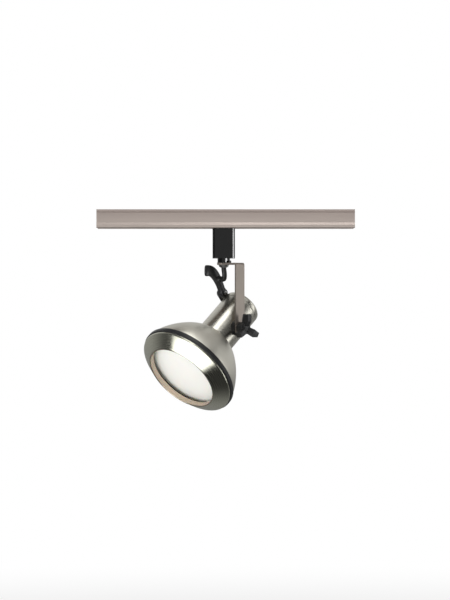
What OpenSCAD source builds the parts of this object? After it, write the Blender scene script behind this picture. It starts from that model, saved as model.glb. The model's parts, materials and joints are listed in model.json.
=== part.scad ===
// Track light: a short length of track, a plug-in adapter that slides along it, an L-shaped
// arm that turns under the adapter, and a lamp head that tilts at the foot of the arm.
// Origin: centre of the track's top face. +X along the track, +Z up. Millimetres.

/* [Track] */
// Length of the piece of track
track_l = 267; // [200:1:600]
// Width of the channel above its foot
track_w = 33; // [32:0.5:36]
// Height of the channel
track_h = 19.2; // [18.8:0.1:20]
// Wall thickness of the channel
track_wall = 1.6; // [1.2:0.1:1.8]
// Distance between the two ceiling screw holes
hole_pitch = 200; // [120:1:240]

/* [Adapter] */
// Where the adapter stands along the track
adapter_x = -2; // [-40:1:40]
// Width of the adapter along the track
adapter_w = 23.2; // [22:0.1:26]
// Depth of the adapter across the track
adapter_d = 30; // [28:0.5:33]
// Height of the adapter below the track
adapter_h = 30.9; // [29:0.1:34]
// Radius of the adapter's upright corners
adapter_corner = 3; // [2:0.1:3.2]

/* [Arm] */
// Turn of the arm about the vertical, away from square to the track
arm_turn = 46; // [0:1:90]
// Width of the arm's strip
arm_w = 12.2; // [11:0.1:13]
// Thickness of the arm's strip
arm_t = 2; // [1.5:0.1:2.2]
// Height of the tilt pivot below the ceiling
pivot_drop = 122.8; // [118:0.2:140]

/* [Head] */
// Angle of the lamp below the horizontal
head_tilt = 40; // [10:1:80]
// Outside radius of the barrel
barrel_r = 20; // [19.5:0.1:20.2]
// Length of the head from the rim of the bell to the barrel's closed end
head_l = 104; // [102:1:110]
// Distance from the rim back to the tilt pivot
pivot_back = 68; // [66:0.5:70]
// Outside radius of the bell at its rim
bell_r = 52.3; // [52:0.1:54]
// Length of the bell
bell_l = 48; // [46:0.5:49]
// How far the front ring stands ahead of the rim
ring_depth = 11; // [10:0.5:12]
// Radius of the opening in the front ring
ring_open_r = 38; // [37:0.5:40]

/* [Hidden] */
$fn = 96;
gap = 0.3;                        // free space between pieces that move past each other
fit = 0.05;                       // radial clearance of a shaft that turns in its hole

// Track profile
foot_w = track_w + 2.2;           // the foot stands a little proud of the wall
foot_z = -track_h + 3.2;          // top of the proud foot, under its long bevel
foot_bevel = 2.5;
slot_w = 18;                      // slot along the underside
lip_t = 2.4;                      // thickness of the lips beside the slot
inner_w = track_w - 2 * track_wall;
lip_z = -track_h + lip_t;         // top of the lips
top_z = -track_wall;              // underside of the top wall
ceiling_hole_r = 2.4;
groove_z = -2.5;                  // fine groove along the top of each side
busbar_z = -9;                    // height of the conductors
busbar_face = 11.3;               // inner face of the conductors, from the middle
busbar_t = 1.6;
busbar_h = 4.2;
liner_face = 11;                  // inner face of the plastic liners
earth_w = 6;
earth_t = 1;

// Adapter
ad_top = -track_h - gap;
ad_bot = ad_top - adapter_h;
ad_wall = 1.8;
ad_floor = 2.4;
split_y = 0;                      // plane where the two shells meet
post_x = 7.4;                     // screw posts inside the adapter, either side of the middle
post_r = 2;
post_z = ad_bot + 12;
mast_r = 6;                       // neck of the contact carrier
collar_r = 6.5;
collar_h = 4.2;
stud_r = 3.6;
stud_bore_r = 2.75;
wing_y = 10.4;                    // half length of the carrier's wings

// Arm and swivel stack, from the adapter's underside down
collar_z = ad_bot - collar_h;
washer_t = 0.5;
strip_top = collar_z - washer_t - 0.1;
strip_bot = strip_top - arm_t;
nut_h = 2.2;
nut_r = 4.9;
cord_r = 2.6;
pivot = [adapter_x, 0, -pivot_drop];
arm_in = barrel_r + 2.6;          // inner face of the arm's long leg, from the turning axis
arm_out = arm_in + arm_t;
bend_r = 2.6;                     // outside radius of the arm's bend
arm_foot = 8.4;                   // the arm runs this far below the pivot
screw_r = 3;

// Head, as distances behind the rim and radii from the lamp's axis
gasket_l = 5.4;
gasket_r = 53.8;                  // the gasket stands a little proud of the rim
skirt_gap_r = 50.7;               // inside radius of the gasket, clear of the ring's sleeve
wall_t = 1.2;
barrel_front = bell_l - 3;
barrel_end_r = 4;                 // rounding of the barrel's closed end
lip_depth = 6;                    // inward lip behind the opening
skirt_r = 50.1;                   // sleeve of the front ring that slides into the bell
skirt_l = 6.5;
clip_angles = [90, 210, 330];
lamp_r = 47;
holder_r = 16;
holder_z0 = 65;
holder_z1 = 93;
shell_r = 13.9;
lamp_base_r = 13.2;
thread_pitch = 3.6;
handle_side = 12.4;               // the handle stands this far off the lamp's axis
handle_t = 7.2;

// ---- shapes used more than once ----

// A square with round corners, as true arcs.
module rounded_square(w, d, r) {
    square([w - 2 * r, d], center = true);
    square([w, d - 2 * r], center = true);
    for (x = [-1, 1], y = [-1, 1])
        translate([x * (w / 2 - r), y * (d / 2 - r)]) circle(r);
}

// A profile in the plane across the track, drawn out along the track.
module along_track(length = track_l) {
    rotate([90, 0, 90]) linear_extrude(length, center = true) children();
}

// Places what rides with the adapter.
module at_adapter() {
    translate([adapter_x, 0, 0]) children();
}

// Places what turns with the arm: +X towards the arm's long leg, -Y the way the lamp faces.
module at_arm() {
    translate([adapter_x, 0, 0]) rotate([0, 0, -arm_turn]) children();
}

// Places what tilts with the head, with the pivot as origin: -Y the way the lamp faces.
module at_head() {
    translate(pivot) rotate([0, 0, -arm_turn]) rotate([head_tilt, 0, 0]) children();
}

// Places a turned shape on the lamp's axis: z is the distance behind the rim.
module on_lamp_axis() {
    at_head() rotate([-90, 0, 0]) translate([0, 0, -pivot_back]) children();
}

// A turned ring from a list of [radius, z] points.
module turned(points) {
    rotate_extrude() polygon(points);
}

// A pan-head screw along +Z, with a cross recess in its head.
module screw(r, length, head_r, head_h) {
    difference() {
        union() {
            cylinder(h = length, r = r, $fn = 32);
            translate([0, 0, -head_h]) cylinder(h = head_h, r = head_r, $fn = 32);
        }
        for (a = [0, 90])
            rotate([0, 0, a]) translate([0, 0, -head_h])
                cube([head_r * 1.2, head_r * 0.3, head_h], center = true);
    }
}

// A round tube swept along a route of points, with flat ends square to the route. The route
// must never run along the direction "sideways", which sets where its facets start.
function unit(v) = v / norm(v);
function tangent(p, i) = unit(p[min(i + 1, len(p) - 1)] - p[max(i - 1, 0)]);
module swept_tube(route, r, sideways, sides = 8) {
    rings = len(route);
    points = [for (i = [0:rings - 1])
        let (t = tangent(route, i), u = unit(cross(t, sideways)), v = cross(t, u))
        for (k = [0:sides - 1])
            route[i] + r * (cos(360 * k / sides) * u + sin(360 * k / sides) * v)];
    walls = [for (i = [0:rings - 2], k = [0:sides - 1])
        let (a = i * sides + k, b = i * sides + (k + 1) % sides)
        [a, b, b + sides, a + sides]];
    ends = [[for (k = [sides - 1:-1:0]) k],
        [for (k = [0:sides - 1]) (rings - 1) * sides + k]];
    polyhedron(points = points, faces = concat(walls, ends), convexity = 4);
}

// ---- track ----

// Outline of one side, from the top outer corner round to the inside of the top wall.
track_side = [[track_w / 2, 0], [track_w / 2, groove_z], [track_w / 2 - 0.5, groove_z - 0.3],
    [track_w / 2, groove_z - 0.6], [track_w / 2, foot_z + foot_bevel], [foot_w / 2, foot_z],
    [foot_w / 2, -track_h + 0.6], [foot_w / 2 - 0.6, -track_h], [slot_w / 2, -track_h],
    [slot_w / 2, lip_z], [inner_w / 2, lip_z], [inner_w / 2, top_z]];
track_other_side = [for (i = [len(track_side) - 1:-1:0]) [-track_side[i][0], track_side[i][1]]];

module track_channel() {
    color("#a39890") difference() {
        along_track() polygon(concat(track_side, track_other_side));
        for (x = [-1, 1])
            translate([x * hole_pitch / 2, 0, -track_wall - earth_t - 1])
                cylinder(h = track_wall + earth_t + 2, r = ceiling_hole_r);
    }
}

// Plastic extrusion that lines one side of the channel and grips its conductor.
module liner(side) {
    color("#2c2c2c") mirror([0, side < 0 ? 1 : 0, 0]) along_track() difference() {
        translate([liner_face, -14.4]) square([inner_w / 2 - liner_face, 10.6]);
        translate([liner_face - 1, busbar_z - busbar_h / 2])
            square([1 + busbar_face + busbar_t - liner_face, busbar_h]);
    }
}
module front_liner() { liner(-1); }
module rear_liner() { liner(1); }

module busbar(side) {
    color("#b87333") mirror([0, side < 0 ? 1 : 0, 0]) along_track(track_l - 8)
        translate([busbar_face, busbar_z - busbar_h / 2]) square([busbar_t, busbar_h]);
}
module live_busbar() { busbar(-1); }
module neutral_busbar() { busbar(1); }

module earth_strip() {
    color("#b87333") difference() {
        along_track(track_l - 8) translate([-earth_w / 2, top_z - earth_t]) square([earth_w, earth_t]);
        for (x = [-1, 1])
            translate([x * hole_pitch / 2, 0, top_z - earth_t - 1])
                cylinder(h = earth_t + 2, r = ceiling_hole_r);
    }
}

// ---- adapter ----

module adapter_case() {
    difference() {
        translate([0, 0, ad_bot]) linear_extrude(adapter_h)
            rounded_square(adapter_w, adapter_d, adapter_corner);
        translate([0, 0, ad_bot + ad_floor]) linear_extrude(adapter_h - ad_floor - ad_wall)
            rounded_square(adapter_w - 2 * ad_wall, adapter_d - 2 * ad_wall, 1);
        translate([0, 0, ad_top - ad_wall - 1]) cylinder(h = ad_wall + 2, r = mast_r + 0.1);
        translate([0, 0, ad_bot - 1]) cylinder(h = ad_floor + 2, r = 5.2);
        for (x = [-1, 1])
            translate([x * post_x, 12, post_z]) rotate([-90, 0, 0])
                cylinder(h = 5, r = 1.3, $fn = 32);
    }
}

module adapter_front_shell() {
    color("#262626") at_adapter() {
        intersection() {
            adapter_case();
            translate([-20, -20, ad_bot - 1]) cube([40, 20 + split_y, adapter_h + 2]);
        }
        // screw posts for the rear shell, each on a web from the side wall
        for (m = [0, 1]) mirror([m, 0, 0]) difference() {
            union() {
                translate([post_x, -8, post_z]) rotate([-90, 0, 0])
                    cylinder(h = 20.9, r = post_r, $fn = 32);
                translate([post_x, -8, post_z - 1]) cube([3, 7.8, 2]);
            }
            translate([post_x, 4, post_z]) rotate([-90, 0, 0]) cylinder(h = 12, r = 1, $fn = 32);
        }
    }
}

module adapter_rear_shell() {
    color("#262626") at_adapter() {
        intersection() {
            adapter_case();
            translate([-20, split_y, ad_bot - 1]) cube([40, 20, adapter_h + 2]);
        }
        // peg that stops the arm before it has turned all the way round
        translate([-1.2, 7.4, ad_bot - 3]) cube([2.4, 2.4, 3.2]);
    }
}

module adapter_screws() {
    color("#8a8a8a") at_adapter() for (x = [-1, 1])
        translate([x * post_x, adapter_d / 2, post_z]) rotate([90, 0, 0]) screw(1, 8.9, 2, 1.1);
}

module contact_carrier() {
    color("#3a3a3a") at_adapter() {
        // base inside the adapter, neck through the slot, wings over the track's lips
        translate([0, 0, ad_top - ad_wall - 6]) cylinder(h = 5.8, r = 7.6);
        translate([0, 0, ad_top - ad_wall - 0.3]) cylinder(h = ad_wall + lip_t + 1.8, r = mast_r);
        translate([-6, -wing_y, lip_z + gap]) cube([12, 2 * wing_y, 3]);
        translate([-4, -8, lip_z + gap + 2.9]) cube([8, 16, 7]);
    }
}

// Spring blade that bears on one conductor.
module side_contact(side) {
    color("#c8a050") at_adapter() mirror([0, side < 0 ? 1 : 0, 0]) {
        translate([-2.5, 8, busbar_z - 1.6]) cube([5, 2.2, 0.8]);
        translate([-2.5, 10.2, busbar_z - 1.6]) cube([5, 0.8, 3.4]);
    }
}
module live_contact() { side_contact(-1); }
module neutral_contact() { side_contact(1); }

module earth_contact() {
    color("#c8a050") at_adapter() {
        translate([-3, -1.5, lip_z + gap + 9.9]) cube([6, 3, 0.8]);
        translate([-2, -1.5, lip_z + gap + 10.7]) cube([4, 3, 2.9]);
    }
}

module swivel_collar() {
    color("#202020") at_adapter() difference() {
        union() {
            translate([0, 0, collar_z]) cylinder(h = collar_h, r = collar_r);
            translate([0, 0, ad_bot]) cylinder(h = ad_floor, r = 5.15);
            translate([0, 0, ad_bot + ad_floor]) cylinder(h = 1.2, r = 6.4);
        }
        translate([0, 0, collar_z - 1]) cylinder(h = 12, r = stud_r + fit);
    }
}

// Two leads from the contact carrier down towards the hollow stud.
adapter_lead_route = [[5, 0, -27.3], [5, 0, -29.5], [5, 0, -32], [4.5, 0, -34.5], [3.4, 0, -37],
    [2.2, 0, -39.2], [1.4, 0, -41.6], [1.3, 0, -44], [1.3, 0, -46.5], [1.3, 0, -49.6]];
module adapter_leads() {
    color("#ddd8d0") at_adapter() for (way = [-1, 1])
        swept_tube([for (p = adapter_lead_route) [way * p[0], 0, p[2]]], 1.0, [0, 1, 0]);
}

// ---- arm and swivel ----

module hollow_stud() {
    color("#9a9a9a") at_arm() difference() {
        translate([0, 0, strip_bot - nut_h - 0.6])
            cylinder(h = ad_bot + ad_floor + 4 - (strip_bot - nut_h - 0.6), r = stud_r);
        translate([0, 0, strip_bot - nut_h - 2]) cylinder(h = 30, r = stud_bore_r);
    }
}

// Washer with a nut formed on it, which keeps the stud from dropping out of the collar.
module stud_retainer() {
    color("#9a9a9a") at_arm() difference() {
        translate([0, 0, ad_bot + ad_floor + 1.4]) cylinder(h = 1.8, r = 5.6, $fn = 6);
        translate([0, 0, ad_bot]) cylinder(h = 10, r = stud_r);
    }
}

// Black washer whose raised finger meets the peg under the adapter.
module stop_washer() {
    color("#1c1c1c") at_arm() difference() {
        union() {
            translate([0, 0, strip_top]) cylinder(h = washer_t, r = 7);
            translate([0, -1.5, strip_top]) cube([9.6, 3, washer_t]);
            translate([7.3, -1.5, strip_top + 0.2]) cube([2.3, 3, 2.2]);
        }
        translate([0, 0, strip_top - 1]) cylinder(h = 4, r = stud_r);
    }
}

module arm() {
    color("#9c938b") at_arm() difference() {
        union() {
            // short leg under the adapter
            translate([0, 0, strip_bot]) cylinder(h = arm_t, r = 7);
            translate([0, -arm_w / 2, strip_bot]) cube([arm_out - bend_r, arm_w, arm_t]);
            // bend
            translate([arm_out - bend_r, arm_w / 2, strip_top - bend_r]) rotate([90, 0, 0])
                intersection() {
                    difference() {
                        cylinder(h = arm_w, r = bend_r);
                        translate([0, 0, -1]) cylinder(h = arm_w + 2, r = bend_r - arm_t);
                    }
                    translate([0, 0, -1]) cube([bend_r + 1, bend_r + 1, arm_w + 2]);
                }
            // long leg, with a round foot
            translate([arm_in, -arm_w / 2, -pivot_drop - arm_foot + arm_w / 2])
                cube([arm_t, arm_w, strip_top - bend_r + pivot_drop + arm_foot - arm_w / 2]);
            translate([arm_in, 0, -pivot_drop - arm_foot + arm_w / 2]) rotate([0, 90, 0])
                cylinder(h = arm_t, r = arm_w / 2);
        }
        translate([0, 0, strip_bot - 1]) cylinder(h = arm_t + 2, r = stud_r);
        translate([arm_in - 1, 0, -pivot_drop]) rotate([0, 90, 0])
            cylinder(h = arm_t + 2, r = screw_r + fit);
    }
}

module stud_nut() {
    color("#8f8f8f") at_arm() difference() {
        union() {
            translate([0, 0, strip_bot - nut_h]) cylinder(h = nut_h - 0.8, r = nut_r, $fn = 6);
            translate([0, 0, strip_bot - 0.8]) cylinder(h = 0.8, r = nut_r + 0.5);
        }
        translate([0, 0, strip_bot - nut_h - 1]) cylinder(h = nut_h + 2, r = stud_r);
    }
}

// Route of the supply cord from inside the hollow stud to the bushing on the handle's side,
// from the adapter's turning axis with +X along the track.
cord_route = [[0, 0, -50], [0, 0, -54], [0, 0, -58], [0.03, 0, -60.6], [0.3, 0.2, -63], [0.6, 0.5, -65.4],
    [0.75, 1.2, -68], [0.6, 2.4, -70.3], [0.05, 4.05, -71.8], [-1.27, 5.45, -72.09], [-2.29, 6.51, -72.09]];
module supply_cord() {
    color("#141414") at_adapter() swept_tube(cord_route, cord_r, [0.72, 0.69, 0], 12);
}

// ---- head ----

// The bell's outline, from its rim back to the barrel: a curve between a straight cone
// (bell_curve 1) and a quarter ellipse (bell_curve 2). t runs from 0 at the rim to 1.
bell_curve = 1.36;
bell_steps = 24;
function bell_radius(t) =
    barrel_r + (bell_r - barrel_r) * pow(1 - pow(t, bell_curve), 1 / bell_curve);
bell_outside = [for (i = [0:bell_steps - 1])
    let (t = sin(i * 90 / bell_steps)) [bell_radius(t), gasket_l + (bell_l - gasket_l) * t]];
bell_inside = [for (p = bell_outside)
    if (p[0] - wall_t > barrel_r + 0.5) [p[0] - wall_t, p[1] - 0.4]];
bell_front = gasket_l - 1.5;      // the bell's edge sits in a groove of the gasket

module bell() {
    color("#b4b2a8") on_lamp_axis()
        turned(concat(bell_outside, [[barrel_r, bell_l], [barrel_r, bell_l - 2.2]],
            [for (i = [len(bell_inside) - 1:-1:0]) bell_inside[i]],
            [[bell_r - wall_t, bell_front], [bell_r, bell_front]]));
}

module gasket() {
    color("#141414") on_lamp_axis() turned([[skirt_gap_r, 0.2], [gasket_r - 0.5, 0.2],
        [gasket_r, 0.8], [gasket_r, gasket_l - 0.8], [gasket_r - 0.5, gasket_l - 0.2],
        [bell_r, gasket_l - 0.2], [bell_r, bell_front], [bell_r - wall_t, bell_front],
        [skirt_gap_r, bell_front - 0.3]]);
}

module barrel() {
    color("#a9a79c") difference() {
        on_lamp_axis() rotate_extrude() difference() {
            union() {
                translate([0, barrel_front]) square([barrel_r, head_l - barrel_front - barrel_end_r]);
                translate([0, barrel_front]) square([barrel_r - barrel_end_r, head_l - barrel_front]);
                translate([barrel_r - barrel_end_r, head_l - barrel_end_r]) circle(barrel_end_r);
            }
            translate([-1, barrel_front - 1]) square([1 + barrel_r - wall_t, head_l - barrel_front
                - wall_t - 3 + 1]);
            translate([-1, barrel_front - 1]) square([1 + barrel_r - wall_t - 3, head_l - barrel_front
                - wall_t + 1]);
            translate([-barrel_r, 0]) square([barrel_r, 2 * head_l]);
        }
        at_head() rotate([0, 90, 0]) cylinder(h = 40, r = screw_r);
        // where the leads come in under the handle's foot
        at_handle(-handle_side) translate([handle_spine[0][0], 8, 0]) rotate([-90, 0, 0])
            cylinder(h = 14, r = 2.6);
        // rear bracket screws
        for (a = [-1, 1])
            on_lamp_axis() translate([a * 9, 0, head_l - 3]) cylinder(h = 6, r = 1.6, $fn = 32);
    }
}

// Saddle washer between the barrel and the arm.
module pivot_spacer() {
    color("#1a1a1a") difference() {
        at_head() translate([barrel_r - 2.6, 0, 0]) rotate([0, 90, 0]) difference() {
            cylinder(h = arm_in - 0.1 - barrel_r + 2.6, r = 8.2);
            translate([0, 0, -1]) cylinder(h = 10, r = screw_r);
        }
        on_lamp_axis() cylinder(h = 2 * head_l, r = barrel_r);
    }
}

module pivot_screw() {
    color("#9a9a9a") at_head() rotate([0, 90, 0]) {
        translate([0, 0, barrel_r - 2.2]) cylinder(h = arm_out + 8.4 - barrel_r + 2.2, r = screw_r);
        translate([0, 0, barrel_r - 3.4]) cylinder(h = 1.6, r = 4.4);
    }
}

module spring_washer() {
    color("#8a8a8a") at_head() translate([arm_out + 0.1, 0, 0]) rotate([0, 90, 0]) difference() {
        cylinder(h = 0.8, r = 5.6);
        translate([0, 0, -1]) cylinder(h = 3, r = screw_r);
    }
}

// Knob: a round hub with three thick wings, set back from the arm, one of them upright.
knob_z0 = arm_out + 1;
knob_hub_h = 9;
wing_reach = 14.6;
wing_w = 5.5;
wing_outline = [[0, 3], [6, 3.4], [wing_reach, 5.4], [wing_reach, 13], [7, 13], [0, knob_hub_h]];
module wing_knob() {
    color("#1e1e1e") at_head() translate([knob_z0, 0, 0]) rotate([-head_tilt, 0, 0]) rotate([0, 90, 0])
        difference() {
            union() {
                cylinder(h = knob_hub_h - 3, r = 6.6);
                cylinder(h = knob_hub_h, r = 5.4);
                for (a = [60, 180, 300]) rotate([0, 0, a]) rotate([90, 0, 0])
                    linear_extrude(wing_w, center = true) polygon(wing_outline);
            }
            translate([0, 0, -1]) cylinder(h = 8.5, r = screw_r + fit);
        }
}

// The aiming handle lies in a flat plane beside the lamp's axis. Its spine's points are
// [towards the back, up] from the pivot, each with half the handle's width there.
handle_spine = [[31.4, 21.2], [32.6, 26], [33.8, 31], [34.6, 36], [34.8, 41], [34.2, 46], [32.2, 50.6],
    [28.4, 54]];
handle_half = [4.4, 3.5, 3.3, 3.8, 4.4, 5.1, 5.7, 6.1];
handle_near = -handle_side + handle_t / 2;      // the flank that faces the arm
handle_far = -handle_side - handle_t / 2;
lug_t = 1.2;
bushing_at = [34.8, 37];
bushing_l = 2.5;

// Places a shape drawn in the handle's plane: +X towards the back, +Y up, +Z towards the arm.
module at_handle(z) {
    at_head() translate([z, 0, 0]) rotate([90, 0, 90]) children();
}

module aiming_handle() {
    color("#2a2a2a") difference() {
        at_handle(handle_far) linear_extrude(handle_t)
            for (i = [0:len(handle_spine) - 2]) hull() {
                translate(handle_spine[i]) circle(handle_half[i], $fn = 24);
                translate(handle_spine[i + 1]) circle(handle_half[i + 1], $fn = 24);
            }
        on_lamp_axis() cylinder(h = 2 * head_l, r = barrel_r);
        at_handle(handle_far - 1) translate(handle_spine[0]) cylinder(h = handle_t + 2, r = 1.2);
    }
}

// Steel lug that stands up from the barrel behind the handle's foot.
module handle_lug() {
    color("#8a8a86") difference() {
        at_handle(handle_far - lug_t) {
            translate([handle_spine[0][0] - 4, 8, 0]) cube([8, handle_spine[0][1] - 8, lug_t]);
            translate(handle_spine[0]) cylinder(h = lug_t, r = 4);
        }
        on_lamp_axis() cylinder(h = 2 * head_l, r = barrel_r);
        at_handle(handle_far - lug_t - 1) translate(handle_spine[0]) cylinder(h = 4, r = 1.2);
    }
}

module handle_screw() {
    color("#c8c8c8") at_handle(handle_near) translate(handle_spine[0]) mirror([0, 0, 1])
        screw(1.2, handle_t + lug_t + 0.6, 2.3, 1.2);
}

module cord_bushing() {
    color("#1a1a1a") at_handle(handle_near) translate(bushing_at)
        cylinder(h = bushing_l, r1 = 3.6, r2 = 3);
}

// ---- lampholder ----

module lampholder_body() {
    color("#e8e4da") on_lamp_axis() difference() {
        translate([0, 0, holder_z0]) cylinder(h = holder_z1 - holder_z0, r = holder_r);
        translate([0, 0, holder_z0 - 1]) cylinder(h = 24, r = shell_r + 0.1);
        translate([0, 0, holder_z0]) cylinder(h = 40, r = 2);
    }
}

module lampholder_shell() {
    color("#c9a34a") on_lamp_axis() difference() {
        translate([0, 0, holder_z0 + 0.5]) cylinder(h = 21.5, r = shell_r);
        translate([0, 0, holder_z0 - 1]) cylinder(h = 22.4, r = lamp_base_r + 0.3);
        translate([0, 0, holder_z0]) cylinder(h = 40, r = 4);
    }
}

module lampholder_contact() {
    color("#c9a34a") on_lamp_axis() {
        translate([-1.5, -1.5, holder_z0 + 21.9]) cube([3, 3, 1]);
        translate([0, 0, holder_z0 + 22.4]) cylinder(h = 6.8, r = 1.2, $fn = 32);
    }
}

module lampholder_bracket() {
    color("#b0b0b0") on_lamp_axis() difference() {
        union() {
            translate([-13, -5, holder_z1]) cube([26, 10, 1.2]);
            for (x = [-1, 1]) translate([x * 9 - 3, -5, holder_z1 + 1])
                cube([6, 10, head_l - wall_t - holder_z1 - 1]);
        }
        translate([0, 0, holder_z1 - 1]) cylinder(h = 4, r = 3);
        for (x = [-1, 1]) translate([x * 9, 0, holder_z1 + 1]) cylinder(h = 12, r = 1.4, $fn = 32);
    }
}

module bracket_screws() {
    color("#9a9a9a") for (x = [-1, 1])
        on_lamp_axis() translate([x * 9, 0, head_l]) rotate([180, 0, 0]) screw(1.4, 7, 2.6, 1.3);
}

// Two leads inside the barrel, from under the handle's foot to the lampholder's terminals.
terminal_y = -7;
lead_routes = [[[-10.5, -13.4, 98.5], [-9, -11.4, 98.4], [-6.6, -8.9, 98], [-5.2, -7.4, 97],
        [-5, terminal_y, 95.2]],
    [[-8.3, -14.6, 98.5], [-5.4, -13.2, 98.4], [-1.4, -11.4, 98.2], [2.6, -9, 97.6], [4.8, -7.4, 96.6],
        [5, terminal_y, 95.2]]];
module head_leads() {
    color("#ddd8d0") on_lamp_axis() for (route = lead_routes)
        swept_tube(route, 0.9, [-0.6, 0.8, 0]);
}

module terminal_screws() {
    color("#c9a34a") on_lamp_axis() for (x = [-5, 5])
        translate([x, terminal_y, holder_z1]) cylinder(h = 2, r = 1.5, $fn = 32);
}

// ---- front ring ----

module front_ring() {
    color("#9a9a94") on_lamp_axis() turned([[52.8, 0], [52.8, -1.6], [52.2, -2.4],
        [ring_open_r + 1.4, -ring_depth], [ring_open_r + 0.6, -ring_depth - 0.2],
        [ring_open_r, -ring_depth + 0.4], [ring_open_r, -ring_depth + lip_depth],
        [ring_open_r + 1, -ring_depth + lip_depth], [ring_open_r + 1, -ring_depth + 1.4],
        [51.2, -1.4], [51.2, -0.9], [skirt_r - 0.9, -0.9], [skirt_r - 0.9, skirt_l],
        [skirt_r, skirt_l], [skirt_r, 0]]);
}

clip_x = skirt_r - 1.6;           // inner face of a clip, whose edges touch the sleeve
module ring_clips() {
    color("#b8b8b8") on_lamp_axis() for (a = clip_angles) rotate([0, 0, a]) {
        translate([clip_x, -3, 1]) cube([0.6, 6, 6]);
        translate([clip_x, -3, 6.8]) rotate([0, 8, 0]) cube([0.6, 6, 2.4]);
    }
}

// ---- lamp ----

lamp_outside = [[lamp_r, 1], [lamp_r, 4], [45.6, 9], [42.6, 15], [38.4, 21], [33.2, 27], [27.8, 33],
    [22.4, 39], [18.2, 45], [16.9, 51], [16.4, 57], [15.4, 61], [13.2, 63.4]];
module lamp_envelope() {
    color("#f2f2ea") on_lamp_axis() difference() {
        turned(concat([[0, -4.2]], [for (a = [6:6:30]) [2 * lamp_r * sin(a), -4.2 + 38.8 * (1 - cos(a))]],
            lamp_outside, [[0, 63.4]]));
        turned(concat([[0, -3]], [for (a = [6:6:24]) [2 * lamp_r * sin(a), -3 + 38.8 * (1 - cos(a))]],
            [for (p = lamp_outside) if (p[1] < 62) [p[0] - 1.2, p[1]]], [[0, 61]]));
    }
}

module lamp_stem() {
    color("#e0e0e0") on_lamp_axis() {
        translate([0, 0, 40]) cylinder(h = 21, r = 3);
        for (x = [-1, 1]) translate([x * 6, 0, 26.2]) cylinder(h = 15.3, r = 0.4, $fn = 24);
        translate([-6.4, -0.4, 40.4]) cube([12.8, 0.8, 0.8]);
    }
}

module lamp_filament() {
    color("#707070") on_lamp_axis() translate([-6, 0, 25.6]) rotate([0, 90, 0])
        cylinder(h = 12, r = 0.6, $fn = 24);
}

// Screw cap: the rolled thread is a row of rings.
module lamp_base() {
    color("#c8c8c0") on_lamp_axis() difference() {
        union() {
            translate([0, 0, 63.5]) cylinder(h = 18.5, r = lamp_base_r - 0.5);
            for (i = [0:4]) translate([0, 0, 65 + i * thread_pitch]) rotate_extrude()
                translate([lamp_base_r - 0.9, 0]) circle(0.85, $fn = 24);
        }
        translate([0, 0, 60]) cylinder(h = 21, r = lamp_base_r - 1.3);
    }
}

module lamp_base_insulator() {
    color("#1c1c1c") on_lamp_axis() turned([[0, 82], [9.5, 82], [6, 84.4], [0, 84.4]]);
}

module lamp_tip() {
    color("#c8c8c0") on_lamp_axis() turned([[0, 84.4], [4.4, 84.4], [3.6, 86], [0, 86.4]]);
}

track_channel();
front_liner();
rear_liner();
live_busbar();
neutral_busbar();
earth_strip();
adapter_front_shell();
adapter_rear_shell();
adapter_screws();
contact_carrier();
live_contact();
neutral_contact();
earth_contact();
swivel_collar();
adapter_leads();
hollow_stud();
stud_retainer();
stop_washer();
arm();
stud_nut();
supply_cord();
barrel();
bell();
gasket();
pivot_spacer();
pivot_screw();
spring_washer();
wing_knob();
aiming_handle();
handle_lug();
handle_screw();
cord_bushing();
lampholder_body();
lampholder_shell();
lampholder_contact();
terminal_screws();
lampholder_bracket();
bracket_screws();
head_leads();
front_ring();
ring_clips();
lamp_envelope();
lamp_stem();
lamp_filament();
lamp_base();
lamp_base_insulator();
lamp_tip();
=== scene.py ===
import json
import math

import bmesh
import bpy
from mathutils import Matrix, Vector


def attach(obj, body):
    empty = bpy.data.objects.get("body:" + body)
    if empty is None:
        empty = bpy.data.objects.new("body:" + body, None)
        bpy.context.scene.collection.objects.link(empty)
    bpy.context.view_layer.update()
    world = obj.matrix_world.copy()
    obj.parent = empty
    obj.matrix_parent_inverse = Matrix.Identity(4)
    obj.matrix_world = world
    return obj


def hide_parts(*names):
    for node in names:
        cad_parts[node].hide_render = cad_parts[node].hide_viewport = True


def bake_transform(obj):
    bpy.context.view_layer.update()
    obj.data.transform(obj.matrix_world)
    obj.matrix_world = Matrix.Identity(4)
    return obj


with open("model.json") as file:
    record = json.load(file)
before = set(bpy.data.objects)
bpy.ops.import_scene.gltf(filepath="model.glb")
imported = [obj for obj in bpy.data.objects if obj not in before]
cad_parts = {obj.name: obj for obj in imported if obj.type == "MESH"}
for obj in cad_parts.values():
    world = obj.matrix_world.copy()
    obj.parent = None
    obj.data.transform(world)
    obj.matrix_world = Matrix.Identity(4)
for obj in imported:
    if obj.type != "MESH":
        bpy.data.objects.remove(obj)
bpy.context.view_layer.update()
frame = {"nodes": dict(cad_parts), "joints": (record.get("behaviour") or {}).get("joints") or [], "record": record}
scene = bpy.context.scene
MM = 0.001
TAU = 2 * math.pi

# ---- dimensions that several pieces share, in millimetres ----

PIVOT_BACK = 68          # from the bell's rim back to the tilt pivot
BARREL_R = 20
HEAD_L = 104             # from the bell's rim back to the barrel's closed end
BELL_R = 52.3
BELL_L = 48
SHEET_T = 1.2            # the barrel's and the bell's wall
BELL_FRONT_OVERLAP = 1.5  # how far the bell's edge reaches into the gasket
GASKET_L = 5.4
OPENING_R = 38           # the front ring's opening

# ---- where things are, from the frame's joints ----

joints = {j["name"]: j for j in frame["joints"]}
pivot = Vector(joints["head_tilt"]["pos_m"])
across = Vector(joints["head_tilt"]["axis"]).normalized()    # towards the arm's long leg
forward = Vector(joints["ring_pull"]["axis"]).normalized()   # the way the lamp faces
backward = -forward
upward = across.cross(backward)
swivel = Vector(joints["arm_swivel"]["pos_m"])


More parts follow.
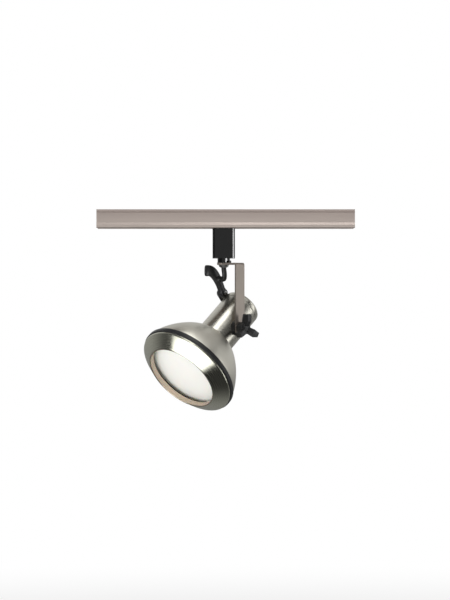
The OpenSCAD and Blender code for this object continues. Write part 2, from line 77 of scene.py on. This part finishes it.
def axes(origin, x, y, z):
    """A matrix that places local X, Y and Z along these directions."""
    turned = Matrix((x, y, z)).transposed().to_4x4()
    return Matrix.Translation(origin) @ turned


# z is the distance behind the bell's rim, on the lamp's axis
lamp_axis = axes(pivot + forward * PIVOT_BACK * MM, across, -upward, backward)
# z is the distance from the lamp's axis towards the arm; x is up the arm
arm_side = axes(pivot, Vector((0, 0, 1)), Vector((0, 0, 1)).cross(-across), across)

# ---- camera ----

LENS = 135
SENSOR = 36
FRAME_H = 624 * MM       # the height of the view at the object
AIM_X = -0.7 * MM
AIM_Z = -93.7 * MM
camera_data = bpy.data.cameras.new("camera")
camera_data.lens = LENS
camera_data.sensor_width = SENSOR
camera = bpy.data.objects.new("camera", camera_data)
scene.collection.objects.link(camera)
camera.location = (AIM_X, -FRAME_H * LENS / SENSOR, AIM_Z)
camera.rotation_euler = (math.pi / 2, 0, 0)
scene.camera = camera

# ---- mesh helpers, in millimetres ----


def mesh_object(name, points, faces, matrix=None):
    """An object from points in millimetres, shaded smooth."""
    data = bpy.data.meshes.new(name)
    data.from_pydata([Vector(p) * MM for p in points], [], faces)
    data.validate()
    data.polygons.foreach_set("use_smooth", [True] * len(data.polygons))
    obj = bpy.data.objects.new(name, data)
    scene.collection.objects.link(obj)
    if matrix is not None:
        obj.matrix_world = matrix
    return obj


def round_corners(loop, steps=4):
    """A closed outline with its corners rounded. Each point is (r, z) or (r, z, radius)."""
    most = 0.45          # how much of a side one corner may use
    out = []
    for i, point in enumerate(loop):
        here = Vector(point[:2])
        radius = point[2] if len(point) > 2 else 0
        if radius == 0:
            out.append(here)
            continue
        before = Vector(loop[i - 1][:2]) - here
        after = Vector(loop[(i + 1) % len(loop)][:2]) - here
        start = here + before.normalized() * min(radius, before.length * most)
        end = here + after.normalized() * min(radius, after.length * most)
        for k in range(steps + 1):
            t = k / steps
            out.append(start * (1 - t) ** 2 + here * 2 * t * (1 - t) + end * t * t)
    return out


def lathe(name, loop, matrix, steps):
    """A turned piece from an outline of (r, z) points. Points on the axis become poles."""
    points, rings = [], []
    for r, z in round_corners(loop):
        if r < 1e-6:
            rings.append([len(points)] * steps)
            points.append((0, 0, z))
            continue
        rings.append([len(points) + k for k in range(steps)])
        points += [(r * math.cos(TAU * k / steps), r * math.sin(TAU * k / steps), z)
                   for k in range(steps)]
    faces = []
    for a, b in zip(rings, rings[1:] + rings[:1]):
        for k in range(steps):
            quad = [a[k], a[(k + 1) % steps], b[(k + 1) % steps], b[k]]
            face = [v for n, v in enumerate(quad) if v != quad[n - 1]]
            if len(set(face)) > 2:
                faces.append(face)
    return mesh_object(name, points, faces, matrix)


def smooth_route(route, per_span):
    """A smooth curve through given points, with this many steps between each two."""
    points = [Vector(p) for p in route]
    ends = [points[0] * 2 - points[1]] + points + [points[-1] * 2 - points[-2]]
    out = []
    for i in range(1, len(ends) - 2):
        a, b, c, d = ends[i - 1:i + 3]
        for k in range(per_span):
            t = k / per_span
            out.append(0.5 * (2 * b + (c - a) * t + (2 * a - 5 * b + 4 * c - d) * t * t
                              + (3 * b - a - 3 * c + d) * t ** 3))
    return out + [points[-1]]


def join_rings(count, sides):
    """The faces of a tube: its wall between rings of points, and its two flat ends."""
    faces = []
    for i in range(count - 1):
        for k in range(sides):
            a, b = i * sides + k, i * sides + (k + 1) % sides
            faces.append([a, b, b + sides, a + sides])
    faces.append(list(range(sides))[::-1])
    faces.append([(count - 1) * sides + k for k in range(sides)])
    return faces


def tube(name, route, radius, sides):
    """A round tube along a route, with flat ends."""
    points = []
    side = Vector((1, 0, 0))
    for i, here in enumerate(route):
        way = (route[min(i + 1, len(route) - 1)] - route[max(i - 1, 0)]).normalized()
        side = (side - way * side.dot(way)).normalized()
        other = way.cross(side)
        points += [here + side * radius * math.cos(TAU * k / sides)
                   + other * radius * math.sin(TAU * k / sides) for k in range(sides)]
    return mesh_object(name, points, join_rings(len(route), sides))


def bar(name, spine, section, matrix, sides=28):
    """A flat-sided bar along a curve in the local XY plane. section(t) gives half the width in
    that plane, half the thickness and how square its corners are, for t from 0 to 1."""
    points = []
    count = len(spine)
    for i, here in enumerate(spine):
        way = (spine[min(i + 1, count - 1)] - spine[max(i - 1, 0)]).normalized()
        left = Vector((-way.y, way.x, 0))
        half_w, half_t, squareness = section(i / (count - 1))
        for k in range(sides):
            c, s = math.cos(TAU * k / sides), math.sin(TAU * k / sides)
            x = math.copysign(abs(c) ** squareness, c) * half_w
            z = math.copysign(abs(s) ** squareness, s) * half_t
            points.append(here + left * x + Vector((0, 0, z)))
    return mesh_object(name, points, join_rings(count, sides), matrix)


def bevel(obj, width, segments=2):
    """Softens every edge that is sharper than 35 degrees."""
    edge = obj.modifiers.new("soft_edges", "BEVEL")
    edge.width = width * MM
    edge.segments = segments
    edge.limit_method = "ANGLE"
    edge.angle_limit = math.radians(35)
    edge.harden_normals = False
    edge.use_clamp_overlap = True
    return obj


# ---- materials ----

NOISE_RANGE = (0.3, 0.7)  # where nearly all of a noise texture's values lie


def map_range(tree, value, start, end, low=0.0, high=1.0, kind="SMOOTHSTEP"):
    """A node tree's value mapped from start to end onto low to high, and held beyond them."""
    node = tree.nodes.new("ShaderNodeMapRange")
    node.interpolation_type = kind
    for socket, number in (("From Min", start), ("From Max", end), ("To Min", low), ("To Max", high)):
        node.inputs[socket].default_value = number
    tree.links.new(value, node.inputs["Value"])
    return node.outputs["Result"]


class Surface:
    """A Principled material with helpers that add procedural detail."""

    def __init__(self, name, colour, roughness, metallic=0.0):
        self.material = bpy.data.materials.new(name)
        self.material.use_nodes = True
        self.tree = self.material.node_tree
        self.nodes = self.tree.nodes
        self.links = self.tree.links
        self.shader = self.nodes["Principled BSDF"]
        self.colour = colour
        self.shader.inputs["Base Color"].default_value = (*colour, 1)
        self.shader.inputs["Roughness"].default_value = roughness
        self.shader.inputs["Metallic"].default_value = metallic
        self.roughness = roughness
        self.place = self.nodes.new("ShaderNodeTexCoord").outputs["Object"]

    def set(self, **values):
        """Sets the shader's own sockets. An underscore stands for a space."""
        for socket, value in values.items():
            self.shader.inputs[socket.replace("_", " ")].default_value = value
        return self

    def math(self, operation, a, b=None):
        """A maths node on one or two sockets or numbers."""
        node = self.nodes.new("ShaderNodeMath")
        node.operation = operation
        for i, value in enumerate((a, b)):
            if value is None:
                continue
            if isinstance(value, (int, float)):
                node.inputs[i].default_value = value
            else:
                self.links.new(value, node.inputs[i])
        return node.outputs[0]

    def scaled(self, sx, sy, sz):
        """The object's coordinates, stretched."""
        node = self.nodes.new("ShaderNodeMapping")
        node.inputs["Scale"].default_value = (sx, sy, sz)
        self.links.new(self.place, node.inputs["Vector"])
        return node.outputs[0]

    def from_axis(self, near, far, high=1.0):
        """A value that goes from 0 to high between two distances from the local Z axis."""
        flat = self.nodes.new("ShaderNodeVectorMath")
        flat.operation = "LENGTH"
        self.links.new(self.scaled(1, 1, 0), flat.inputs[0])
        return map_range(self.tree, flat.outputs["Value"], near * MM, far * MM, 0.0, high)

    def tint(self, factor, colour):
        """Mixes the colour so far towards another one."""
        mix = self.nodes.new("ShaderNodeMix")
        mix.data_type = "RGBA"
        base = self.shader.inputs["Base Color"]
        if base.links:
            self.links.new(base.links[0].from_socket, mix.inputs["A"])
        else:
            mix.inputs["A"].default_value = (*self.colour, 1)
        mix.inputs["B"].default_value = (*colour, 1)
        self.links.new(factor, mix.inputs["Factor"])
        self.links.new(mix.outputs["Result"], base)
        return self

    def round_place(self, fine, coarse):
        """Coordinates for grooves that run round the local Z axis: radius and height are
        stretched by fine, and the way round by coarse."""
        split = self.nodes.new("ShaderNodeSeparateXYZ")
        self.links.new(self.place, split.inputs[0])
        x, y, z = split.outputs
        radius = self.math("SQRT", self.math("ADD", self.math("MULTIPLY", x, x),
                                             self.math("MULTIPLY", y, y)))
        reach = self.math("MULTIPLY", self.math("ADD", radius, z), fine)
        join = self.nodes.new("ShaderNodeCombineXYZ")
        safe = self.math("MAXIMUM", radius, 1e-4)
        self.links.new(reach, join.inputs[0])
        self.links.new(self.math("MULTIPLY", self.math("DIVIDE", x, safe), coarse), join.inputs[1])
        self.links.new(self.math("MULTIPLY", self.math("DIVIDE", y, safe), coarse), join.inputs[2])
        return join.outputs[0]

    def noise(self, place, scale, detail=3.0, rough=0.5):
        """A noise texture's value."""
        node = self.nodes.new("ShaderNodeTexNoise")
        node.inputs["Scale"].default_value = scale
        node.inputs["Detail"].default_value = detail
        node.inputs["Roughness"].default_value = rough
        self.links.new(place, node.inputs["Vector"])
        return node.outputs["Fac"]

    def vary_colour(self, factor, amount):
        """Makes the colour darker and lighter by a fraction."""
        mix = self.nodes.new("ShaderNodeMix")
        mix.data_type = "RGBA"
        mix.inputs["A"].default_value = (*[c * (1 - amount) for c in self.colour], 1)
        mix.inputs["B"].default_value = (*[min(1, c * (1 + amount)) for c in self.colour], 1)
        self.links.new(factor, mix.inputs["Factor"])
        self.links.new(mix.outputs["Result"], self.shader.inputs["Base Color"])
        return self

    def vary_roughness(self, factor, amount):
        """Makes the surface smoother and rougher by an amount."""
        uneven = map_range(self.tree, factor, *NOISE_RANGE, self.roughness - amount,
                           self.roughness + amount, "LINEAR")
        self.links.new(uneven, self.shader.inputs["Roughness"])
        return self

    def bump(self, factor, height):
        """Relief of this height in millimetres."""
        node = self.nodes.new("ShaderNodeBump")
        node.inputs["Strength"].default_value = 1.0
        node.inputs["Distance"].default_value = height * MM
        self.links.new(factor, node.inputs["Height"])
        self.links.new(node.outputs["Normal"], self.shader.inputs["Normal"])
        return self


def lathed_metal(name, colour, roughness, turned):
    """Satin metal, brushed round the local Z axis. turned says how much its gloss is drawn out."""
    s = Surface(name, colour, roughness, 1.0)
    s.set(Anisotropic=turned, Anisotropic_Rotation=0.25)
    tangent = s.nodes.new("ShaderNodeTangent")
    tangent.direction_type = "RADIAL"
    tangent.axis = "Z"
    s.links.new(tangent.outputs[0], s.shader.inputs["Tangent"])
    grooves = s.noise(s.round_place(6000, 2.5), 1.0, 2.0, 0.6)
    s.vary_roughness(grooves, 0.04)
    s.vary_colour(s.noise(s.round_place(1500, 1.2), 1.0, 3.0), 0.03)
    return s.bump(grooves, 0.003)


def brushed_metal():
    """The barrel's and the bell's finish, which is duller away from the barrel."""
    s = lathed_metal("brushed_metal", (0.70, 0.68, 0.60), 0.28, 0.55)
    rough = s.shader.inputs["Roughness"].links[0].from_socket
    s.links.new(s.math("ADD", rough, s.from_axis(21, 30, 0.11)), s.shader.inputs["Roughness"])
    return s


def ring_metal():
    """The front ring's finish, tinted a warm tan on the wall of its opening."""
    s = lathed_metal("ring_metal", (0.66, 0.66, 0.55), 0.26, 0.75)
    return s.tint(s.from_axis(OPENING_R + 1.1, OPENING_R + 0.7), (0.60, 0.50, 0.40))


def track_metal():
    """The track's metal, with painted shade that makes it a little darker towards the ceiling."""
    s = drawn_metal("track_metal", (0.62, 0.537, 0.486), 0.42, (30, 3000, 3000), 0.75)
    split = s.nodes.new("ShaderNodeSeparateXYZ")
    s.links.new(s.place, split.inputs[0])
    # painted shade: the colour darkens from 17 mm below the track's top up to 1 mm below it
    return s.tint(map_range(s.tree, split.outputs[2], -17 * MM, -1 * MM), (0.515, 0.435, 0.396))


def drawn_metal(name, colour, roughness, scale, metallic=1.0):
    """Satin metal with a straight grain, long along the axis where scale is small."""
    s = Surface(name, colour, roughness, metallic)
    grain = s.noise(s.scaled(*scale), 1.0, 3.0, 0.6)
    s.vary_roughness(grain, 0.06)
    s.vary_colour(s.noise(s.scaled(*[v * 0.25 for v in scale]), 1.0, 2.0), 0.05)
    return s.bump(grain, 0.01)


def moulded(name, colour, roughness, grain=0.01, specular=0.5):
    """Moulded plastic or rubber: a fine spark texture and slightly uneven gloss."""
    s = Surface(name, colour, roughness)
    s.set(Specular_IOR_Level=specular)
    s.vary_colour(s.noise(s.place, 260, 3.0), 0.22)
    s.vary_roughness(s.noise(s.place, 420, 2.0), 0.07)
    return s.bump(s.noise(s.place, 3200, 2.0), grain)


def frosted_glass():
    """Etched white glass over a bright coating: soft, a little green-grey, faintly uneven."""
    s = Surface("lamp_glass", (0.92, 0.895, 0.845), 0.42)
    s.set(Coat_Weight=0.35, Coat_Roughness=0.28, Subsurface_Weight=0.1, Subsurface_Scale=0.004)
    s.vary_colour(s.noise(s.place, 22, 2.0), 0.03)
    s.vary_roughness(s.noise(s.place, 90, 2.0), 0.05)
    return s.bump(s.noise(s.place, 2600, 2.0), 0.006)


def stem_glass():
    """Clear glass."""
    s = Surface("stem_glass", (0.95, 0.96, 0.95), 0.05)
    s.set(Transmission_Weight=0.9, IOR=1.5)
    return s.vary_roughness(s.noise(s.place, 200, 2.0), 0.03)


mats = {
    "track_metal": track_metal(),
    "arm_metal": drawn_metal("arm_metal", (0.39, 0.345, 0.305), 0.42, (2500, 2500, 40), 0.8),
    "brushed_metal": brushed_metal(),
    "ring_metal": ring_metal(),
    "liner_plastic": moulded("liner_plastic", (0.03, 0.03, 0.03), 0.5),
    "copper": drawn_metal("copper", (0.72, 0.36, 0.2), 0.3, (40, 2500, 2500)),
    "adapter_plastic": moulded("adapter_plastic", (0.004, 0.004, 0.004), 0.14, 0.001, specular=0.32),
    "carrier_plastic": moulded("carrier_plastic", (0.03, 0.03, 0.03), 0.45),
    "contact_brass": drawn_metal("contact_brass", (0.78, 0.56, 0.24), 0.28, (900, 900, 900)),
    "zinc_steel": drawn_metal("zinc_steel", (0.24, 0.24, 0.235), 0.3, (1500, 1500, 1500)),
    "black_steel": moulded("black_steel", (0.015, 0.015, 0.015), 0.35),
    "clip_steel": drawn_metal("clip_steel", (0.6, 0.6, 0.6), 0.25, (1500, 1500, 1500)),
    "gasket_rubber": moulded("gasket_rubber", (0.013, 0.013, 0.014), 0.42, 0.006),
    "black_plastic": moulded("black_plastic", (0.018, 0.018, 0.019), 0.36, 0.02),
    "cord_sheath": moulded("cord_sheath", (0.012, 0.012, 0.012), 0.42, 0.008),
    "lead_insulation": moulded("lead_insulation", (0.72, 0.69, 0.62), 0.45),
    "holder_ceramic": moulded("holder_ceramic", (0.78, 0.74, 0.66), 0.55, 0.02),
    "filament_wire": drawn_metal("filament_wire", (0.3, 0.3, 0.3), 0.4, (3000, 3000, 3000)),
    "lamp_base_metal": drawn_metal("lamp_base_metal", (0.72, 0.71, 0.66), 0.25, (800, 800, 800)),
    "base_insulator": moulded("base_insulator", (0.02, 0.02, 0.025), 0.2, 0.002),
    "lamp_glass": frosted_glass(),
    "stem_glass": stem_glass(),
}


# ---- the CAD's own pieces: materials and softened edges ----

PLAIN_BEVEL = 0.1
CAD_BEVEL = {"track_channel": 0.35, "arm": 0.3, "adapter_front_shell": 0.3, "adapter_rear_shell": 0.3,
             "swivel_collar": 0.3, "stud_nut": 0.25, "stop_washer": 0.12, "pivot_spacer": 0.3,
             "handle_lug": 0.2, "lampholder_body": 0.4, "lampholder_bracket": 0.2,
             "contact_carrier": 0.3, "front_liner": 0.2, "rear_liner": 0.2}
for row in frame["record"]["subparts"]:
    node = frame["nodes"][row["node"]]
    node.data.materials.clear()
    node.data.materials.append(mats[row["material_slot"]].material)
    bevel(node, CAD_BEVEL.get(row["node"], PLAIN_BEVEL))


def finish_piece(piece, body, slot, *nodes):
    """Gives a piece its material and body, and hides the CAD nodes it stands for."""
    piece.data.materials.append(mats[slot].material)
    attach(piece, body)
    if nodes:
        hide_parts(*nodes)
    return piece


# ---- bell, barrel, gasket ----

BELL_CURVE = 1.36        # 1 is a straight cone, 2 an ellipse
BELL_COLLAR = 2.2        # how far the bell reaches along the barrel, inside it
BARREL_CORNER = 4.0
GROOVE_BACK = 7          # from the barrel's closed end to the groove round it
GASKET_R = 53.8
GASKET_BORE_R = 50.7
GASKET_LIP_L = 2.6


def bell_radius(t):
    """The bell's outside radius, for t from 0 at the rim to 1 at the barrel."""
    return BARREL_R + (BELL_R - BARREL_R) * (1 - t ** BELL_CURVE) ** (1 / BELL_CURVE)


def bell_outline():
    """A thin shell, with its front edge inside the gasket."""
    steps, set_in = 44, 0.4
    length = BELL_L - GASKET_L
    spots = [math.sin(i * math.pi / 2 / steps) for i in range(steps)]
    outside = [(bell_radius(t), GASKET_L + length * t) for t in spots]
    inside = [(r - SHEET_T, z - set_in) for r, z in outside if r - SHEET_T > BARREL_R + 0.5]
    front = GASKET_L - BELL_FRONT_OVERLAP
    return ([(BELL_R, front, 0.3)] + outside + [(BARREL_R, BELL_L), (BARREL_R, BELL_L - BELL_COLLAR)]
            + inside[::-1] + [(BELL_R - SHEET_T, front, 0.3)])


def barrel_outline():
    """A thin cup with a shallow groove rolled round it near its closed end."""
    r, wall, front = BARREL_R, SHEET_T, BELL_L - 3
    groove, half, depth = HEAD_L - GROOVE_BACK, 0.5, 0.3
    return [(r - wall, front, 0.2), (r, front, 0.2), (r, groove - half, 0.15), (r - depth, groove, 0.2),
            (r, groove + half, 0.15), (r, HEAD_L, BARREL_CORNER), (0, HEAD_L), (0, HEAD_L - wall),
            (r - wall, HEAD_L - wall, BARREL_CORNER - wall)]


def gasket_outline():
    """A rubber band with rounded shoulders, and a step that the bell's edge sits on."""
    front, back, corner = 0.2, GASKET_L - 0.2, 1.2
    seat = GASKET_L - BELL_FRONT_OVERLAP
    return [(GASKET_BORE_R, front, 0.2), (GASKET_R, front, corner), (GASKET_R, back, corner),
            (BELL_R, back, 0.1), (BELL_R, seat), (BELL_R - SHEET_T, seat), (GASKET_BORE_R, GASKET_LIP_L, 0.2)]


finish_piece(lathe("bell_shell", bell_outline(), lamp_axis, 200), "head", "brushed_metal", "bell")
finish_piece(lathe("barrel_shell", barrel_outline(), lamp_axis, 128), "head", "brushed_metal", "barrel")
finish_piece(lathe("rim_gasket", gasket_outline(), lamp_axis, 200), "head", "gasket_rubber", "gasket")

# ---- front ring and lamp ----

RING_DEPTH = 11          # from the bell's rim to the ring's face
RING_R = 52.8
RING_BACK_R = 51.2
RING_SHEET_T = 0.9
LIP_DEPTH = 6            # the wall round the opening
SKIRT_R = 50.1           # the sleeve that goes into the bell
SKIRT_L = 6.5
LAMP_R = 47
LAMP_FACE_Z = -4.2
LAMP_NECK_Z = 63.4       # where the glass ends, in the screw base
LAMP_GLASS_T = 1.2

def ring_outline():
    """A dished ring with a rolled lip round its opening and a sleeve that goes into the bell."""
    face, r, wall, back = -RING_DEPTH, OPENING_R, RING_SHEET_T, LIP_DEPTH - RING_DEPTH
    return [(RING_R, 0, 0.3), (RING_R, -1.7, 0.7), (r + 1.2, face, 0.9), (r, face, 0.7),
            (r, back, 0.3), (r + 1, back, 0.3), (r + 1, face + 1.4, 0.4), (RING_BACK_R, -1.4, 0.2),
            (RING_BACK_R, -wall), (SKIRT_R - wall, -wall, 0.2), (SKIRT_R - wall, SKIRT_L, 0.2),
            (SKIRT_R, SKIRT_L, 0.2), (SKIRT_R, 0, 0.2)]


def lamp_outline():
    """A reflector lamp: a shallow domed face, a parabolic side and a neck."""
    dome_r, dome_fall, glass, inner_end = 2 * LAMP_R, 38.8, LAMP_GLASS_T, 61
    dome = [(dome_r * math.sin(math.radians(a)), LAMP_FACE_Z + dome_fall * (1 - math.cos(math.radians(a))))
            for a in range(0, 29, 2)]
    side = [(LAMP_R, 1, 1.5), (LAMP_R, 4, 1.5), (45.6, 9), (42.6, 15), (38.4, 21), (33.2, 27), (27.8, 33),
            (22.4, 39), (18.2, 45), (16.9, 51), (16.4, 57), (15.4, inner_end, 1),
            (13.2, LAMP_NECK_Z, 0.5)]
    inside = [(p[0] - glass, p[1]) for p in side if p[1] <= inner_end]
    return (dome + side + [(0, LAMP_NECK_Z), (0, inner_end)] + inside[::-1]
            + [(p[0] * 0.97, p[1] + glass) for p in dome[::-1]])


finish_piece(lathe("trim_ring", ring_outline(), lamp_axis, 220), "ring", "ring_metal", "front_ring")
finish_piece(lathe("lamp_bulb", lamp_outline(), lamp_axis, 180), "lamp", "lamp_glass", "lamp_envelope")

# ---- aiming handle ----

HANDLE_SIDE = -12.4      # its middle, from the lamp's axis; the arm is on the other side
HANDLE_T = 7.2
HANDLE_LOBE_R = 4.4
HANDLE_BORE_R = 1.3      # for its screw
handle_plane = axes(pivot + across * HANDLE_SIDE * MM, backward, upward, across)
handle_spine = smooth_route([(31.4, 21.2, 0), (32.6, 26, 0), (33.8, 31, 0), (34.6, 36, 0), (34.8, 41, 0),
                             (34.2, 46, 0), (32.2, 50.6, 0), (28.4, 54, 0)], 14)


def handle_section(t):
    """A round lobe at the foot, a waist, and a grip that swells to a blunt end with ribs."""
    lobe_end, waist_end, blunt_from = 0.19, 0.22, 0.98
    waist_half, swell, squareness = 3.2, 2.7, 0.5
    rib_height, rib_turns, ribs_from, ribs_to = 0.14, 150, 0.45, 0.93
    lobe = HANDLE_LOBE_R * math.sqrt(max(0.0, 1 - (t / lobe_end) ** 2))
    waist = waist_half + swell * max(0.0, (t - waist_end) / (1 - waist_end)) ** 1.15
    ribs = rib_height * math.cos(t * rib_turns) if ribs_from < t < ribs_to else 0
    blunt = 1 - max(0.0, (t - blunt_from) / (1 - blunt_from)) ** 2 * 0.12
    return (max(lobe, waist) + ribs) * blunt, HANDLE_T / 2 * blunt, squareness


def lobe_cap(name):
    """The rounded foot of the handle, with a raised rim round its screw."""
    half, bore, lobe = HANDLE_T / 2, HANDLE_BORE_R, HANDLE_LOBE_R
    loop = [(bore, -half, 0.1), (lobe, -half, 0.8), (lobe, half - 0.2, 0.8), (lobe - 0.9, half, 0.2),
            (2 * bore, half - 0.1, 0.1), (bore, half - 0.3, 0.1)]
    return lathe(name, loop, handle_plane @ Matrix.Translation(handle_spine[0] * MM), 64)


finish_piece(bar("handle_grip", handle_spine, handle_section, handle_plane), "head", "black_plastic",
             "aiming_handle")
finish_piece(lobe_cap("handle_foot"), "head", "black_plastic")

# ---- wing knob ----

KNOB_Z = 25.6            # where the knob starts, from the lamp's axis
KNOB_HUB_H = 9
KNOB_HUB_R = 6.6
KNOB_NECK_R = 5.3
KNOB_BORE_R = 3.1
WING_REACH = 14.6
WING_W = 5.5


def knob_hub():
    """A stepped hub with a blind bore for the pivot screw."""
    top, hub, neck, bore = KNOB_HUB_H, KNOB_HUB_R, KNOB_NECK_R, KNOB_BORE_R
    loop = [(bore, 0, 0.1), (hub, 0, 0.4), (hub, top - 3, 0.5), (neck + 0.2, top - 2.4, 0.3),
            (neck, top, 0.8), (0, top), (0, top - 0.6), (bore, top - 1, 0.2)]
    return lathe("knob_hub", loop, arm_side @ Matrix.Translation((0, 0, KNOB_Z * MM)), 72)


def knob_wing(name, turn):
    """One thick wing, set back from the arm, with a shallow panel sunk in each flank."""
    tip_from, tip_to = 5.4, 13
    outline = [(2, 3.1), (6, 3.4), (WING_REACH, tip_from), (WING_REACH, tip_to), (7, tip_to), (2, 9.6)]
    count, half = len(outline), WING_W / 2
    points = [(r, side * half, z) for side in (-1, 1) for r, z in outline]
    faces = [list(range(count)), list(range(count, 2 * count))[::-1]]
    faces += [[k, k + count, (k + 1) % count + count, (k + 1) % count] for k in range(count)]
    centre = arm_side @ Matrix.Translation((0, 0, KNOB_Z * MM))
    wing = mesh_object(name, points, faces, centre @ Matrix.Rotation(turn, 4, "Z"))
    shape = bmesh.new()
    shape.from_mesh(wing.data)
    shape.faces.ensure_lookup_table()
    bmesh.ops.inset_individual(shape, faces=shape.faces[:2], thickness=0.9 * MM, depth=-0.5 * MM)
    bmesh.ops.recalc_face_normals(shape, faces=shape.faces)
    shape.to_mesh(wing.data)
    shape.free()
    wing.data.polygons.foreach_set("use_smooth", [False] * len(wing.data.polygons))
    return bevel(wing, 0.45, 3)


finish_piece(knob_hub(), "knob", "black_plastic", "wing_knob")
for number, turn in enumerate((0, TAU / 3, -TAU / 3), 1):
    finish_piece(knob_wing(f"knob_wing_{number}", turn), "knob", "black_plastic")

# ---- supply cord ----

CORD_R = 2.6
CORD_STEPS = 6           # between two points of the route
CORD_ROUTE = [(0, 0, -50), (0, 0, -54), (0, 0, -58), (0.03, 0, -60.6), (0.3, 0.2, -63), (0.6, 0.5, -65.4),
              (0.75, 1.2, -68), (0.6, 2.4, -70.3), (0.05, 4.05, -71.8), (-1.27, 5.45, -72.09),
              (-2.31, 6.53, -72.09)]
cord_route = [p + Vector((swivel.x / MM, 0, 0)) for p in smooth_route(CORD_ROUTE, CORD_STEPS)]
cord = tube("flexible_cord", cord_route, CORD_R, 24)
cord.data.materials.append(mats["cord_sheath"].material)
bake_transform(cord)
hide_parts("supply_cord")

# ---- floor and light ----

FLOOR_Z = -0.62
FLOOR_R = 14
FADE_FROM = 0.5          # distances from the middle where the floor starts and ends its fade
FADE_TO = 2.2
HEAD_CENTRE = Vector((0, 0, -0.13))


def floor():
    """A pale floor that fades to the white surroundings."""
    bpy.ops.mesh.primitive_circle_add(vertices=96, radius=FLOOR_R, fill_type="NGON",
                                      location=(0, 0, FLOOR_Z))
    disc = bpy.context.object
    disc.name = "floor"
    s = Surface("floor", (0.86, 0.86, 0.86), 0.8)
    glow = s.nodes.new("ShaderNodeEmission")
    mix = s.nodes.new("ShaderNodeMixShader")
    length = s.nodes.new("ShaderNodeVectorMath")
    length.operation = "LENGTH"
    s.links.new(s.place, length.inputs[0])
    fade = map_range(s.tree, length.outputs["Value"], FADE_FROM, FADE_TO, 0.45)
    s.links.new(fade, mix.inputs[0])
    s.links.new(s.shader.outputs[0], mix.inputs[1])
    s.links.new(glow.outputs[0], mix.inputs[2])
    s.links.new(mix.outputs[0], s.nodes["Material Output"].inputs["Surface"])
    disc.data.materials.append(s.material)
    disc.visible_glossy = False


def softbox(name, direction, distance, width, height, brightness):
    """A rectangular light that faces the head. White paper in it would have this brightness."""
    data = bpy.data.lights.new(name, "AREA")
    data.shape = "RECTANGLE"
    data.size, data.size_y = width, height
    data.energy = brightness * math.pi * width * height
    light = bpy.data.objects.new(name, data)
    scene.collection.objects.link(light)
    way = Vector(direction).normalized()
    light.location = HEAD_CENTRE + way * distance
    light.rotation_euler = way.to_track_quat("Z", "Y").to_euler()
    light.visible_camera = False
    return light


def link_light(light, group, nodes, state="INCLUDE"):
    """Makes a light reach these CAD nodes only, or all but these."""
    reached = bpy.data.collections.new(group)
    for name in nodes:
        reached.objects.link(frame["nodes"][name])
    for member in reached.collection_objects:
        member.light_linking.link_state = state
    light.light_linking.receiver_collection = reached


def surroundings():
    """White to look at. As light it is bright behind the object and dim in front and below."""
    world = bpy.data.worlds.new("studio")
    scene.world = world
    world.use_nodes = True
    tree = world.node_tree
    nodes, links = tree.nodes, tree.links
    out = nodes["World Output"]
    seen = nodes["Background"]
    seen.inputs["Color"].default_value = (1, 1, 1, 1)
    place = nodes.new("ShaderNodeTexCoord")
    split = nodes.new("ShaderNodeSeparateXYZ")
    links.new(place.outputs["Generated"], split.inputs[0])
    behind = map_range(tree, split.outputs[1], -0.15, 0.75, 0.11, 0.8)
    above = map_range(tree, split.outputs[2], -0.25, 0.15, 0.4)
    both = nodes.new("ShaderNodeMath")
    both.operation = "MULTIPLY"
    links.new(behind, both.inputs[0])
    links.new(above, both.inputs[1])
    light = nodes.new("ShaderNodeBackground")
    links.new(both.outputs[0], light.inputs["Strength"])
    path = nodes.new("ShaderNodeLightPath")
    mix = nodes.new("ShaderNodeMixShader")
    links.new(path.outputs["Is Camera Ray"], mix.inputs[0])
    links.new(light.outputs[0], mix.inputs[1])
    links.new(seen.outputs[0], mix.inputs[2])
    links.new(mix.outputs[0], out.inputs["Surface"])


floor()
surroundings()
# name, direction from the head, distance, width, height and brightness
SOFTBOXES = [
    ("key_low_left", (-0.62, -0.62, -0.48), 0.9, 0.9, 0.7, 3.3),
    ("track_fill", (0.0, -1.0, -0.12), 1.3, 1.2, 0.9, 0.3),
    ("top_strip", (0.05, -0.25, 1.0), 1.0, 0.3, 1.0, 2.4),
    ("right_strip", (1.0, -0.05, 0.05), 1.0, 0.22, 1.2, 2.0),
    ("top_right", (0.4, -0.1, 0.9), 1.0, 0.45, 0.8, 0.9),
    ("top_front", (0.0, -0.68, 0.73), 1.0, 1.05, 0.25, 1.0),
    ("corner_strip", (0.76, -0.65, 0.08), 0.8, 0.5, 0.25, 27.0),
    ("front_fill", (0.0, -1.0, 0.0), 1.3, 1.5, 1.3, 0.53),
]
lights = {row[0]: softbox(*row) for row in SOFTBOXES}
link_light(lights["key_low_left"], "track", ["track_channel"], "EXCLUDE")
link_light(lights["track_fill"], "track_only", ["track_channel"])
link_light(lights["corner_strip"], "adapter_case",
           ["adapter_front_shell", "adapter_rear_shell", "swivel_collar"])
scene.view_settings.view_transform = "Standard"
scene.view_settings.look = "None"
